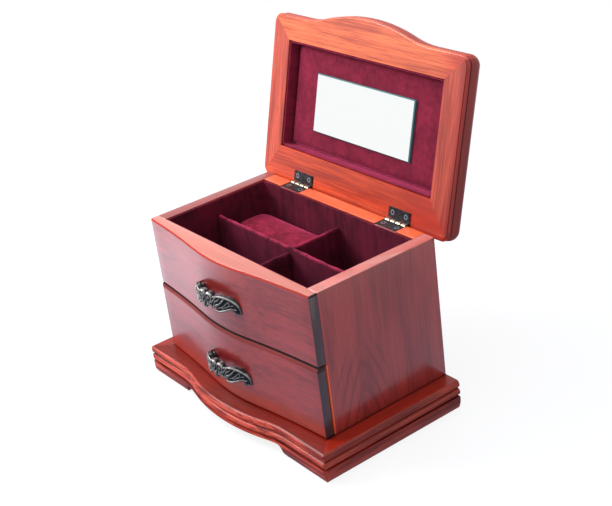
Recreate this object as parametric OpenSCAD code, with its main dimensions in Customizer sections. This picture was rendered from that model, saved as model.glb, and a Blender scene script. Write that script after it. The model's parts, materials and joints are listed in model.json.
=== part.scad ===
// Bow-front jewelry casket: moulded plinth, velvet-lined tray, one drawer and a mirrored lid.
// X runs along the front, Y to the back, Z up. The origin is the centre of the plinth's footprint.

/* [Case] */
// Width of the case over its side panels
case_w = 220; // [190:1:260]
// Depth of the case from its back face to the ends of the bow front
case_d = 124; // [110:1:150]
// Height of the case above the plinth
case_h = 124; // [112:1:150]
// Thickness of the two side panels
side_t = 11.5; // [9:0.5:14]
// Thickness of the back panel
back_t = 12; // [10:0.5:14]
// Thickness of the case floor under the drawer
floor_t = 4; // [3:0.5:6]
// Thickness of the board under the tray
shelf_t = 4; // [3:0.5:6]

/* [Bow fronts] */
// Thickness of both bow fronts at their ends
front_t = 7.5; // [6:0.5:10]
// How far the middle of both fronts stands out past their ends
front_bow = 11.6; // [6:0.2:14]
// Radius of the round middle of the fronts
front_r = 190; // [150:5:240]
// Half width of the round middle of the fronts
front_round = 30; // [20:1:34]
// Height of the drawer front
drawer_front_h = 62; // [54:0.5:68]
// Gap under and over the drawer front
front_gap = 0.8; // [0.4:0.1:2]

/* [Plinth] */
// Height of the plinth
plinth_h = 26; // [24:0.5:32]
// How far the plinth stands out past the case at each side
plinth_side = 15.5; // [12:0.5:20]
// How far the plinth stands out in front of the ends of the bow front
plinth_front = 17.2; // [13:0.2:22]
// Width of the plinth's front and side rails
rail_w = 36; // [32:1:44]
// Width of the plinth's back rail
back_rail_w = 20; // [16:1:26]
// Half width of the cut-out between the front feet
foot_cut = 69; // [50:1:76]
// Height of the cut-out between the front feet
foot_cut_h = 9.5; // [6:0.5:10]
// Radius of the plinth's sanded corners
corner_r = 4.5; // [3:0.5:6]

/* [Serpentine edge] */
// How far the middle of the plinth and lid stands out past their ends
edge_bow = 10.6; // [6:0.2:13]
// Half length of the serpentine curve
edge_half = 78; // [66:1:86]
// Radius of the round middle of the serpentine
edge_r = 190; // [150:5:220]

/* [Lid] */
// Thickness of the lid
lid_t = 17; // [16:0.5:20]
// Radius of the lid's four corners in plan
lid_corner_r = 9; // [6.5:0.5:12]
// How far the lid stands out past the case at each side
lid_side = 11.2; // [9:0.2:15]
// How far the lid stands out in front of the ends of the bow front
lid_front = 18.4; // [13:0.2:22]
// How far the lid stands out past the case's back face
lid_back = 3; // [2.4:0.1:4]
// Width of the lid's two stiles
stile_w = 23.8; // [20:0.2:27]
// Width of the lid's front rail at its ends
lid_front_rail_w = 21.4; // [18:0.2:24]
// Width of the lid's back rail
lid_back_rail_w = 30.6; // [27:0.2:34]
// Depth of the lined recess in the lid
recess_d = 12; // [11:0.2:12.5]
// How far the lid panel is let into the frame
panel_lap = 4; // [3:0.5:5]
// How far the lid is turned back from shut
open_angle = 104.8; // [92:0.2:108]
// Width of the mirror
mirror_w = 124; // [90:1:150]
// Height of the mirror
mirror_h = 50.6; // [36:0.2:62]
// Thickness of the mirror
mirror_t = 2.4; // [1.8:0.2:3]
// Middle of the mirror above the middle of the recess
mirror_up = -1.6; // [-4:0.2:4]

/* [Hinges] */
// Length of a hinge
hinge_l = 25.4; // [22:0.2:30]
// Half the distance between the middles of the two hinges
hinge_x = 63; // [50:1:70]
// How far the pair of hinges sits right of the middle
hinge_shift = 2.2; // [0:0.2:3]
// Reach of a hinge leaf from its pin
leaf_reach = 11; // [10.4:0.1:11.6]
// Thickness of a hinge leaf
leaf_t = 0.9; // [0.8:0.1:1]
// Outer radius of the knuckles
knuckle_r = 2.1; // [1.9:0.05:2.2]
// Radius of the hinge pins
pin_r = 0.9; // [0.7:0.05:1]
// Depth of the pin's centre below the top rim
pin_drop = 1.1; // [1:0.05:1.2]
// Distance of the pin's centre behind the case's back face
pin_out = 0.3; // [0.2:0.05:0.4]
// Height of the shut lid's underside above the pin's centre
lid_lift = 2.7; // [2.6:0.05:2.9]
// Distance from the pin to the screws of a leaf
screw_reach = 6.8; // [6.4:0.1:7.2]
// Spacing of the two screws of a leaf
screw_gap = 16; // [12:0.2:17]

/* [Tray] */
// Thickness of the velvet-covered lining bands
band_t = 1.6; // [1.2:0.1:2.2]
// Inner corner radius of the lining bands
band_r = 3; // [2:0.5:6]
// How far the lining bands stay below the wood
band_drop = 1; // [0.6:0.1:2]
// Thickness of the floor pads
pad_t = 2; // [1.5:0.1:3]
// Thickness of the tray dividers
divider_t = 4; // [3:0.2:5]
// Depth of the long divider's top below the rim
divider_drop = 15; // [12:0.5:20]
// Depth of the cross divider's rear part below the rim
cross_drop = 16; // [12:0.5:20]
// Depth of the cross divider's front part below the rim
cross_front_drop = 18.5; // [14:0.5:24]
// Place of the cross divider, right of the middle
cross_x = 6; // [-20:1:20]
// Height of the ring cushion
cushion_h = 32; // [24:1:36]

/* [Drawer] */
// Thickness of the drawer's sides and back
drawer_t = 7; // [6:0.5:8]
// Thickness of the drawer's bottom
drawer_bottom_t = 3; // [2.5:0.5:4]
// Height of the drawer's sides
drawer_side_h = 50; // [40:1:51]
// How far the drawer stands open as it is shown
drawer_ajar = 1; // [0.6:0.2:2]

/* [Pulls] */
// Half length of a pull
pull_half = 31; // [28:0.5:34]
// How far the middle of a pull stands off the wood
pull_off = 11; // [9:0.5:14]
// Thickness of a pull's cast leaf
pull_t = 3.2; // [2.6:0.2:4]
// Spacing of the two screws of a pull
pull_screws = 40; // [34:1:44]
// Middle of the upper pull above the lower edge of the upper front
upper_pull_z = 30; // [22:0.5:38]
// Middle of the drawer pull above the lower edge of the drawer front
drawer_pull_z = 28.5; // [20:0.5:36]

/* [Clearances] */
// Running clearance at each side of the drawer
drawer_play = 0.8; // [0.5:0.1:1.2]
// Gap between pieces that are set in loosely
loose = 0.3; // [0.2:0.05:0.5]
// Radial clearance of the hinge pins
pin_play = 0.05; // [0.03:0.01:0.08]
// Radial clearance of the screws
screw_play = 0.06; // [0.03:0.01:0.1]

/* [Hidden] */
$fn = 96;
round_fn = 360;
eps = 0.02;
half_w = case_w / 2;
// The origin lies on the ground under the middle of the box that holds the opened casket.
base_d = case_d + plinth_front + edge_bow;
swing = open_angle - 90;
lid_reach = case_d + lid_front + edge_bow + pin_out;
open_reach = pin_out + lid_reach * sin(swing) + (lid_lift + lid_t) * cos(swing);
back_y = (base_d - open_reach) / 2;
front_y = back_y - case_d;
plinth_half = half_w + plinth_side;
plinth_y = front_y - plinth_front;
rim_z = plinth_h + case_h;
drawer_z = plinth_h + front_gap;
upper_z = drawer_z + drawer_front_h + front_gap;
upper_h = rim_z - upper_z;
shelf_z = upper_z - 1.6;
floor_z = plinth_h + floor_t;
in_half = half_w - side_t;
in_front = front_y + front_t;
in_back = back_y - back_t;
tray_z = shelf_z + shelf_t;
band_top = rim_z - band_drop;
tray_half = in_half - loose - band_t;
tray_front = in_front + loose + band_t;
tray_back = in_back - loose - band_t;
tray_mid = (tray_front + tray_back) / 2;
tray_pad_z = tray_z + pad_t;
edge_a = 2 * atan(edge_bow / edge_half);
front_a = asin(front_round / front_r);
moulding_w = 10;
pin_y = back_y + pin_out;
pin_z = rim_z - pin_drop;
case_leaf_z = -0.05;
lid_z = pin_z + lid_lift;
lid_half = half_w + lid_side;
lid_y0 = front_y - lid_front;
lid_y1 = back_y + lid_back;
rec_half = lid_half - stile_w;
rec_y0 = lid_y0 + lid_front_rail_w;
rec_y1 = lid_y1 - lid_back_rail_w;
rec_mid = (rec_y0 + rec_y1) / 2;
lid_pad_t = 3.4;
knuckle_l = hinge_l / 4;
screw_r = 1.1;
head_r = 2.3;
head_h = 1.15;
screw_l = 8;
pull_screw_r = 1.5;
pull_head_r = 3;
box_half = in_half - drawer_play;
box_z = floor_z + loose;
box_front = in_front - drawer_ajar;
box_back = in_back - 2.4;
groove_z = box_z + 3;

// ---- plan curves ----

// End angle and outer radius of a bow whose middle arc has radius r1 and half angle a.
function bow_end(bow, l, r1, a) = 2 * atan((bow - r1 * (1 - cos(a))) / (l - r1 * sin(a))) - a;
function bow_r2(bow, l, r1, a) = (l - r1 * sin(a)) / (sin(a) - sin(bow_end(bow, l, r1, a)));

// Plan of a board with its back along y = 0 and its front bowed to y = -(depth + bow).
module bow_plan(half, depth, bow, l, r1, a) {
    e = bow_end(bow, l, r1, a);
    r2 = bow_r2(bow, l, r1, a);
    xi = r1 * sin(a);
    intersection() {
        translate([0, r1 - depth - bow]) circle(r = r1, $fn = round_fn);
        translate([-xi, -depth - bow - 1]) square([2 * xi, depth + bow + 1]);
    }
    for (s = [0, 1]) {
        mirror([s, 0]) {
            difference() {
                translate([xi, -depth - bow]) square([l - xi, depth + bow]);
                translate([l + r2 * sin(e), -depth - r2 * cos(e)]) circle(r = r2, $fn = round_fn);
            }
            if (l < half) translate([l, -depth]) square([half - l, depth]);
        }
    }
}

// How far the moulded edge's serpentine stands out at x.
function edge_out(x) =
    let (r2 = bow_r2(edge_bow, edge_half, edge_r, edge_a), u = abs(x))
    u > edge_half ? 0
        : u < edge_r * sin(edge_a) ? edge_bow - edge_r + sqrt(edge_r * edge_r - u * u)
        : r2 - sqrt(r2 * r2 - pow(edge_half - u, 2));

// Core of a moulded rail: straight facets that run inside the swept moulding.
module bow_core(half, depth) {
    xs = edge_half * [-1, -0.76, -0.5, -0.25, 0, 0.25, 0.5, 0.76, 1];
    polygon(concat(
        [[half, -depth], [half, 0], [-half, 0], [-half, -depth]],
        [for (x = xs) [x, -depth - edge_out(x)]]
    ));
}

// Sweeps a moulding profile along the serpentine: its x = 0 is the curve, outward is +x.
// A hairline is left where the round middle meets the hollow flanks.
module bow_sweep(half, depth, bow, l, r1, a) {
    r2 = bow_r2(bow, l, r1, a);
    hair = 0.016;
    translate([0, r1 - depth - bow, 0])
        rotate([0, 0, hair - 90 - a])
            rotate_extrude(angle = 2 * (a - hair), $fn = round_fn)
                translate([r1, 0]) children();
    for (s = [0, 1]) {
        mirror([s, 0, 0]) {
            translate([l, -depth - r2, 0])
                rotate([0, 0, 90])
                    rotate_extrude(angle = a, $fn = round_fn)
                        translate([r2, 0]) mirror([1, 0]) children();
        }
    }
    translate([half, -depth, 0])
        rotate([90, 0, -90]) linear_extrude(half - l) children();
    translate([-l, -depth, 0])
        rotate([90, 0, -90]) linear_extrude(half - l) children();
}

// A corner prism that rounds off the corner at the origin, which lies at low x and high y of it.
module corner_cut(r, h) {
    translate([0, 0, -1])
        linear_extrude(h + 2)
            difference() {
                translate([-r, -1]) square([r + 1, r + 1]);
                translate([-r, r]) circle(r = r);
            }
}

// Frame of four strips with rounded inner corners, standing on its lower edge.
module band(x_half, y0, y1, t, r, h) {
    linear_extrude(h)
        difference() {
            round_plan(x_half, y0, y1, r + t);
            round_plan(x_half - t, y0 + t, y1 - t, r);
        }
}

module round_plan(x_half, y0, y1, r) {
    translate([-x_half + r, y0]) square([2 * (x_half - r), y1 - y0]);
    translate([-x_half, y0 + r]) square([2 * x_half, y1 - y0 - 2 * r]);
    for (x = [-x_half + r, x_half - r], y = [y0 + r, y1 - r]) {
        translate([x, y]) circle(r = r);
    }
}

// ---- plinth ----

// Moulding of the plinth: a broad foot, a middle bead and a top bead.
// It runs over at the top and the bottom, and is trimmed to the plinth's height.
module plinth_moulding(w, over) {
    translate([-w, -over]) square([w - 2.5, plinth_h + 2 * over]);
    intersection() {
        translate([-20.2, 9.5]) circle(r = 20);
        translate([-9, -over]) square([10, 11.4 + over]);
    }
    translate([-3.1, 15.5]) circle(r = 3.1, $fn = 48);
    translate([-3.8, plinth_h - 3.5]) circle(r = 3.6, $fn = 48);
}

module plinth_profile(w) {
    intersection() {
        translate([-w, 0]) square([w + 1, plinth_h]);
        plinth_moulding(w, 0);
    }
}

module plinth_corner(s) {
    translate([s * plinth_half, plinth_y, 0])
        mirror([s > 0 ? 0 : 1, 0, 0]) corner_cut(corner_r, plinth_h);
}

// Everything outside the mitre of the front rail, at its right end.
module plinth_mitre() {
    translate([0, 0, -1])
        linear_extrude(plinth_h + 2)
            polygon([
                [plinth_half, plinth_y], [plinth_half + 3, plinth_y - 3],
                [plinth_half + 60, plinth_y - 3], [plinth_half + 60, plinth_y + 60],
                [plinth_half - 60, plinth_y + 60]
            ]);
}

module plinth_front_rail() {
    color([0.50, 0.16, 0.10])
        difference() {
            union() {
                translate([0, plinth_y + rail_w, -2])
                    linear_extrude(plinth_h + 4)
                        bow_core(plinth_half, rail_w - moulding_w / 2);
                translate([0, plinth_y, 0])
                    bow_sweep(plinth_half, 0, edge_bow, edge_half, edge_r, edge_a)
                        plinth_moulding(moulding_w, 1);
            }
            plinth_mitre();
            mirror([1, 0, 0]) plinth_mitre();
            plinth_corner(1);
            plinth_corner(-1);
            for (z = [-6, plinth_h])
                translate([-plinth_half - 1, plinth_y - edge_bow - 9, z])
                    cube([2 * plinth_half + 2, rail_w + edge_bow + 20, 6]);
            foot_cutout();
        }
}

// Opening between the front feet, with an ogee at each end.
module foot_cutout() {
    r = foot_cut_h / 2;
    flare = r + 0.3;
    translate([0, plinth_y + rail_w + 1, 0])
        rotate([90, 0, 0])
            linear_extrude(rail_w + edge_bow + 6)
                difference() {
                    union() {
                        translate([-foot_cut, -2]) square([2 * foot_cut, 2 + foot_cut_h - r]);
                        translate([-foot_cut + r, -2]) square([2 * (foot_cut - r), 2 + foot_cut_h]);
                        for (s = [-1, 1]) translate([s * (foot_cut - r), foot_cut_h - r]) circle(r = r);
                        translate([-foot_cut - flare, -2]) square([2 * (foot_cut + flare), 2 + r]);
                    }
                    for (s = [-1, 1]) translate([s * (foot_cut + flare), r]) circle(r = flare);
                }
}

module plinth_side_rail() {
    difference() {
        translate([plinth_half, back_y, 0])
            rotate([90, 0, 0]) linear_extrude(back_y - plinth_y) plinth_profile(rail_w);
        translate([0, 0, -1])
            linear_extrude(plinth_h + 2)
                polygon([
                    [plinth_half + 3, plinth_y - 3], [plinth_half - 60, plinth_y + 60],
                    [plinth_half - 60, plinth_y - 3]
                ]);
        plinth_corner(1);
    }
}

module plinth_right_rail() {
    color([0.42, 0.13, 0.10]) plinth_side_rail();
}

module plinth_left_rail() {
    color([0.42, 0.13, 0.10]) mirror([1, 0, 0]) plinth_side_rail();
}

module plinth_back_rail() {
    color([0.40, 0.13, 0.09])
        translate([-plinth_half + rail_w, back_y - back_rail_w, 0])
            cube([2 * (plinth_half - rail_w), back_rail_w, plinth_h]);
}

// ---- case ----

module case_floor() {
    color([0.45, 0.20, 0.12])
        translate([-in_half, in_front, plinth_h])
            cube([2 * in_half, in_back - in_front, floor_t]);
}

module case_side() {
    translate([in_half, in_front, plinth_h])
        cube([side_t, back_y - in_front, case_h]);
}

module case_right_side() {
    color([0.40, 0.12, 0.10]) case_side();
}

module case_left_side() {
    color([0.40, 0.12, 0.10]) mirror([1, 0, 0]) case_side();
}

// Back panel with the mortises for the hinge leaves and the hollows for the knuckles.
module case_back() {
    color([0.62, 0.20, 0.10])
        difference() {
            translate([-in_half, in_back, plinth_h]) cube([2 * in_half, back_t, case_h]);
            for (x = hinge_spots()) {
                translate([x - hinge_l / 2 - 0.2, in_back - 1, pin_z + case_leaf_z])
                    cube([hinge_l + 0.4, back_t + 2, 5]);
                translate([x - hinge_l / 2 - 0.2, pin_y, pin_z])
                    rotate([0, 90, 0]) cylinder(r = knuckle_r + 0.2, h = hinge_l + 0.4);
                for (s = [-1, 1]) {
                    translate([x + s * screw_gap / 2, pin_y - screw_reach, pin_z + case_leaf_z + leaf_t])
                        screw_bore();
                }
            }
        }
}

module bow_front(z, h) {
    translate([0, front_y + front_t, z])
        linear_extrude(h)
            bow_plan(half_w, front_t, front_bow, half_w, front_r, front_a);
}

// Bores and countersinks for the two screws of a pull, driven from behind a bow front.
module pull_bores(y, z) {
    for (x = [-pull_screws / 2, pull_screws / 2]) {
        translate([x, y + 1, z])
            rotate([90, 0, 0])
                cylinder(r = pull_screw_r + screw_play, h = front_t + front_bow + 2, $fn = 32);
        translate([x, y + eps, z])
            rotate([90, 0, 0])
                cylinder(r1 = pull_head_r + 0.1, r2 = pull_screw_r + screw_play, h = 1.9, $fn = 32);
    }
}

module upper_front() {
    color([0.66, 0.30, 0.30])
        difference() {
            bow_front(upper_z, upper_h);
            pull_bores(in_front, upper_z + upper_pull_z);
        }
}

// ---- tray ----

module tray_shelf() {
    color([0.45, 0.20, 0.12])
        translate([-in_half, in_front, shelf_z])
            cube([2 * in_half, in_back - in_front, shelf_t]);
}

module tray_lining_band() {
    color([0.36, 0.08, 0.18])
        translate([0, 0, tray_z])
            band(in_half - loose, in_front + loose, in_back - loose, band_t, band_r,
                 band_top - tray_z);
}

module tray_floor_pad() {
    color([0.32, 0.07, 0.16])
        translate([0, 0, tray_z])
            linear_extrude(pad_t)
                round_plan(tray_half - loose, tray_front + loose, tray_back - loose, band_r);
}

// Long divider, slotted from below over the cross divider.
module long_divider() {
    top = rim_z - divider_drop;
    mid = (tray_pad_z + top) / 2;
    color([0.55, 0.14, 0.27])
        difference() {
            union() {
                translate([-tray_half + loose, tray_mid - divider_t / 2, tray_pad_z])
                    cube([2 * (tray_half - loose), divider_t, top - divider_t / 4 - tray_pad_z]);
                translate([-tray_half + loose, tray_mid, top - divider_t * 0.55])
                    rotate([0, 90, 0])
                        cylinder(r = divider_t * 0.55, h = 2 * (tray_half - loose), $fn = 48);
            }
            translate([-tray_half, tray_mid + divider_t / 2, tray_pad_z])
                cube([2 * tray_half, 2, top]);
            translate([-tray_half, tray_mid - divider_t / 2 - 2, tray_pad_z])
                cube([2 * tray_half, 2, top]);
            translate([cross_x - divider_t / 2 - loose, tray_mid - 5, tray_pad_z - 1])
                cube([divider_t + 2 * loose, 10, mid - tray_pad_z + 1 + loose]);
        }
}

// Cross divider, slotted from above, with its front part a little lower.
module cross_divider() {
    top = rim_z - divider_drop;
    mid = (tray_pad_z + top) / 2;
    back_top = rim_z - cross_drop;
    front_top = rim_z - cross_front_drop;
    color([0.50, 0.12, 0.24])
        difference() {
            translate([cross_x - divider_t / 2, 0, 0])
                rotate([90, 0, 90])
                    linear_extrude(divider_t)
                        polygon([
                            [tray_front + loose, tray_pad_z], [tray_back - loose, tray_pad_z],
                            [tray_back - loose, back_top], [tray_mid, back_top],
                            [tray_mid, front_top], [tray_front + loose, front_top]
                        ]);
            translate([cross_x - 5, tray_mid - divider_t / 2 - loose, mid])
                cube([10, divider_t + 2 * loose, 60]);
        }
}

// Stuffed ring cushion: a crowned roll whose ends and sides draw in towards the floor.
cushion_x0 = -tray_half + 1.2;
cushion_x1 = cross_x - divider_t / 2 - 0.4;
cushion_y0 = tray_mid + divider_t / 2 + 0.4;
cushion_y1 = tray_back - 0.4;
cushion_rings = 20;
cushion_sides = 32;

function sq(v, p) = sign(v) * pow(abs(v), p);
function cushion_draw(t) = pow(1 - pow(abs(2 * t - 1), 8), 1 / 4);
function cushion_point(t, k) =
    let (
        s = max(cushion_draw(t), 0.45),
        g = 360 * k / cushion_sides,
        hw = (cushion_y1 - cushion_y0) / 2,
        up = sin(g) > 0 ? 0.62 : 0.38,
        pinch = 1 - 0.05 * pow(cos(g), 6)
    ) [
        cushion_x0 + (cushion_x1 - cushion_x0) * t,
        (cushion_y0 + cushion_y1) / 2 + hw * (0.25 + 0.75 * s) * pinch * sq(cos(g), 0.55),
        tray_pad_z + 0.1 + cushion_h * (0.38 + up * s * sq(sin(g), sin(g) > 0 ? 0.85 : 0.5))
    ];

module ring_cushion() {
    n = cushion_sides;
    m = cushion_rings;
    ts = [for (i = [0:m]) 0.5 - 0.5 * cos(180 * i / m)];
    pts = [for (t = ts) for (k = [0:n - 1]) cushion_point(t, k)];
    ends = [
        [cushion_x0, (cushion_y0 + cushion_y1) / 2, tray_pad_z + 0.1 + cushion_h * 0.4],
        [cushion_x1, (cushion_y0 + cushion_y1) / 2, tray_pad_z + 0.1 + cushion_h * 0.4]
    ];
    a = len(pts);
    color([0.62, 0.16, 0.30])
        polyhedron(
            points = concat(pts, ends),
            faces = concat(
                [for (i = [0:m - 1]) for (k = [0:n - 1])
                    [i * n + k, (i + 1) * n + k, i * n + (k + 1) % n]],
                [for (i = [0:m - 1]) for (k = [0:n - 1])
                    [(i + 1) * n + k, (i + 1) * n + (k + 1) % n, i * n + (k + 1) % n]],
                [for (k = [0:n - 1]) [a, k, (k + 1) % n]],
                [for (k = [0:n - 1]) [a + 1, m * n + (k + 1) % n, m * n + k]]
            )
        );
}

// ---- pulls ----

// Face view of half a pull: scroll, body, lower lobe and a hooked acanthus leaf.
module pull_half_outline() {
    k = pull_half / 31;
    intersection() {
        translate([15.5 * k, -8.5]) circle(r = 14.7 * k);
        union() {
            translate([6, -5.5]) square([20, 20]);
            translate([17, -9.8]) square([26, 20]);
        }
    }
    translate([-1, -3.4]) square([9, 8]);
    translate([4.4, 2.7]) circle(r = 4.6, $fn = 48);
    translate([14.2, -4]) circle(r = 3.2, $fn = 48);
}

module pull_outline() {
    difference() {
        union() {
            pull_half_outline();
            mirror([1, 0]) pull_half_outline();
            translate([0, -2.7]) circle(r = 3.1, $fn = 48);
        }
        for (s = [-1, 1]) translate([s * 11, 8.1]) circle(r = 3.4, $fn = 48);
        for (s = [-1, 1]) translate([s * 8, -8]) circle(r = 4.7, $fn = 48);
        for (s = [-1, 1]) translate([s * 20.8, -9.5]) circle(r = 4.7, $fn = 48);
    }
}

// Ball of radius r, cut off flat behind its middle to leave the fingers room.
module scroll_ball(r, back) {
    rotate([90, 0, 0])
        rotate_extrude($fn = 48)
            intersection() {
                circle(r = r, $fn = 48);
                translate([0, -back]) square([r + 1, r + back + 1]);
            }
}

// Bridge pull: a leaf that arches off the wood, two posts and two round scrolls.
module bridge_pull() {
    // The arch leaves the wood at the leaf tips.
    tip = pull_half - 1;
    lift = pull_off + tip * tip / (2 * front_r);
    r = (tip * tip + lift * lift) / (2 * lift);
    difference() {
        union() {
            intersection() {
                rotate([90, 0, 0])
                    translate([0, 0, -8]) linear_extrude(pull_off + 12) pull_outline();
                translate([0, r - pull_off, -20])
                    difference() {
                        cylinder(r = r, h = 40, $fn = 180);
                        translate([0, 0, -1]) cylinder(r = r - pull_t, h = 42, $fn = 180);
                    }
            }
            translate([0, -pull_off + 2.1, -2.4]) sphere(r = 2.7, $fn = 48);
            for (s = [-1, 1]) {
                translate([s * 4.2, -pull_off + 3.8, 2.7]) scroll_ball(4.5, 1.2);
                translate([s * pull_screws / 2, 8, 0])
                    rotate([90, 0, 0]) cylinder(r = 3.4, h = 8 + pull_off / 2.4, $fn = 48);
            }
        }
        translate([0, front_r, -30]) cylinder(r = front_r + 0.04, h = 60, $fn = round_fn);
        for (s = [-1, 1]) {
            translate([s * pull_screws / 2, 8, 0])
                rotate([90, 0, 0]) cylinder(r = pull_screw_r + screw_play, h = 10.5, $fn = 32);
        }
    }
}

module pull_at(y, z) {
    color([0.36, 0.35, 0.34]) translate([0, y - front_bow, z]) bridge_pull();
}

// Countersunk machine screws from behind the front into the posts of a pull.
module pull_screw_pair(y, z) {
    len = front_t + front_bow + 1.2;
    color([0.55, 0.55, 0.55])
        for (x = [-pull_screws / 2, pull_screws / 2]) {
            translate([x, y, z])
                rotate([90, 0, 0])
                    difference() {
                        union() {
                            cylinder(r = pull_screw_r, h = len, $fn = 32);
                            cylinder(r1 = pull_head_r, r2 = pull_screw_r, h = 1.7, $fn = 32);
                        }
                        for (q = [0, 90]) {
                            rotate([0, 0, q]) translate([-1.5, -0.3, -1]) cube([3, 0.6, 2]);
                        }
                    }
        }
}

module upper_pull() {
    pull_at(front_y, upper_z + upper_pull_z);
}

module upper_pull_screws() {
    pull_screw_pair(in_front, upper_z + upper_pull_z);
}

// ---- hinges ----

function hinge_spots() = [hinge_shift - hinge_x, hinge_shift + hinge_x];

// Countersunk bore for a leaf's screw, its mouth facing up at z = 0.
module screw_bore() {
    translate([0, 0, -head_h - screw_l - 0.6])
        cylinder(r = screw_r + screw_play, h = screw_l + head_h + 1, $fn = 32);
    translate([0, 0, -head_h - screw_play])
        cylinder(r1 = screw_r + screw_play, r2 = head_r + screw_play, h = head_h, $fn = 32);
    translate([0, 0, -screw_play - eps]) cylinder(r = head_r + screw_play, h = 1, $fn = 32);
}

// One leaf lying flat in front of the pin, its lower face at height low above the pin.
// Its knuckles are those numbered in own.
module hinge_leaf(own, low) {
    clear = knuckle_r + 0.25;
    difference() {
        union() {
            translate([-hinge_l / 2, -leaf_reach, low]) cube([hinge_l, leaf_reach - clear, leaf_t]);
            for (i = own) {
                translate([-hinge_l / 2 + i * knuckle_l + 0.08, 0, 0]) {
                    translate([0, -clear - 0.5, low]) cube([knuckle_l - 0.16, clear + 0.5, leaf_t]);
                    translate([0, -knuckle_r, low])
                        cube([knuckle_l - 0.16, knuckle_r, max(leaf_t, -low)]);
                    rotate([0, 90, 0]) cylinder(r = knuckle_r, h = knuckle_l - 0.16, $fn = 48);
                }
            }
        }
        translate([-hinge_l, 0, 0])
            rotate([0, 90, 0]) cylinder(r = pin_r + pin_play, h = 2 * hinge_l, $fn = 32);
        for (s = [-1, 1]) {
            translate([s * screw_gap / 2, -screw_reach, low + leaf_t]) screw_bore();
        }
    }
}

module case_leaf(x) {
    color([0.20, 0.17, 0.13])
        translate([x, pin_y, pin_z]) hinge_leaf([0, 2], case_leaf_z);
}

module left_hinge_case_leaf() {
    case_leaf(hinge_spots()[0]);
}

module right_hinge_case_leaf() {
    case_leaf(hinge_spots()[1]);
}

module hinge_pin(x) {
    color([0.75, 0.66, 0.48])
        translate([x - hinge_l / 2, pin_y, pin_z])
            rotate([0, 90, 0]) cylinder(r = pin_r, h = hinge_l, $fn = 32);
}

module left_hinge_pin() {
    hinge_pin(hinge_spots()[0]);
}

module right_hinge_pin() {
    hinge_pin(hinge_spots()[1]);
}

// Countersunk wood screw, its head flush at z = 0 and its point downward.
module wood_screw() {
    difference() {
        union() {
            translate([0, 0, -head_h]) cylinder(r1 = screw_r, r2 = head_r, h = head_h, $fn = 32);
            translate([0, 0, -head_h - screw_l + 2]) cylinder(r = screw_r, h = screw_l - 2, $fn = 32);
            translate([0, 0, -head_h - screw_l]) cylinder(r1 = 0.2, r2 = screw_r, h = 2, $fn = 32);
        }
        for (q = [0, 90]) {
            rotate([0, 0, q]) translate([-1.1, -0.28, -0.8]) cube([2.2, 0.56, 2]);
        }
    }
}

module hinge_screws_case() {
    color([0.42, 0.41, 0.40])
        for (x = hinge_spots(), s = [-1, 1]) {
            translate([x + s * screw_gap / 2, pin_y - screw_reach,
                       pin_z + case_leaf_z + leaf_t - screw_play])
                wood_screw();
        }
}

// ---- lid ----

// Turns the shut lid about its pins to the angle at which it stands open.
module opened() {
    translate([0, pin_y, pin_z])
        rotate([-open_angle, 0, 0])
            translate([0, -pin_y, -pin_z]) children();
}

module lid_leaf(x) {
    color([0.20, 0.17, 0.13])
        opened() translate([x, pin_y, pin_z]) mirror([0, 0, 1]) hinge_leaf([1, 3], -lid_lift);
}

module left_hinge_lid_leaf() {
    lid_leaf(hinge_spots()[0]);
}

module right_hinge_lid_leaf() {
    lid_leaf(hinge_spots()[1]);
}

// Places its children on the lid's leaves, pointing up into the shut lid's back rail.
module lid_screw_spots() {
    for (x = hinge_spots(), s = [-1, 1]) {
        translate([x + s * screw_gap / 2, pin_y - screw_reach, lid_z - leaf_t])
            mirror([0, 0, 1]) children();
    }
}

module hinge_screws_lid() {
    color([0.42, 0.41, 0.40])
        opened() lid_screw_spots() translate([0, 0, -screw_play]) wood_screw();
}

// Edge moulding of the lid: a fine bead by the underside, a groove and a full round edge.
module lid_profile(w) {
    translate([-w, 0]) square([w - 2.2, lid_t - 4]);
    translate([-w, 0]) square([w - 6, lid_t]);
    translate([-1.9, 2.2]) circle(r = 1.6, $fn = 48);
    intersection() {
        translate([-8.6, 8.4]) circle(r = 8.6);
        translate([-w, 4.4]) square([w + 1, lid_t - 4.4]);
    }
}

// Takes the square outer corners off the frame and turns the moulding round them instead.
module lid_round_corners(sides = [0, 1]) {
    r = lid_corner_r;
    difference() {
        children();
        for (s = sides) {
            mirror([s, 0, 0]) {
                translate([lid_half - r, lid_y0 - 1, lid_z - 1]) cube([r + 1, r + 1, lid_t + 2]);
                translate([lid_half - r, lid_y1 - r, lid_z - 1]) cube([r + 1, r + 1, lid_t + 2]);
            }
        }
    }
    for (s = sides) {
        mirror([s, 0, 0]) {
            translate([lid_half - r, lid_y0 + r, lid_z]) rotate([0, 0, -90]) lid_turn(r);
            translate([lid_half - r, lid_y1 - r, lid_z]) lid_turn(r);
        }
    }
}

module lid_turn(r) {
    rotate_extrude(angle = 90) translate([r, 0]) lid_profile(r);
}

// Rebate in the top of the frame for the panel, and the recess below it.
module lid_inside() {
    translate([-rec_half, rec_y0, lid_z - 1]) cube([2 * rec_half, rec_y1 - rec_y0, lid_t + 2]);
    translate([-rec_half - panel_lap, rec_y0 - panel_lap, lid_z + recess_d])
        cube([2 * (rec_half + panel_lap), rec_y1 - rec_y0 + 2 * panel_lap, lid_t]);
}

// Prism beyond a mitre line from the outer corner o through the inner corner i.
module mitre_side(o, i, turn) {
    d = [i[0] - o[0], i[1] - o[1]];
    n = turn * [-d[1], d[0]];
    translate([0, 0, lid_z - 1])
        linear_extrude(lid_t + 2)
            polygon([o - d, o + 4 * d, o + 4 * d + 12 * n, o - d + 12 * n]);
}

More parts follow.
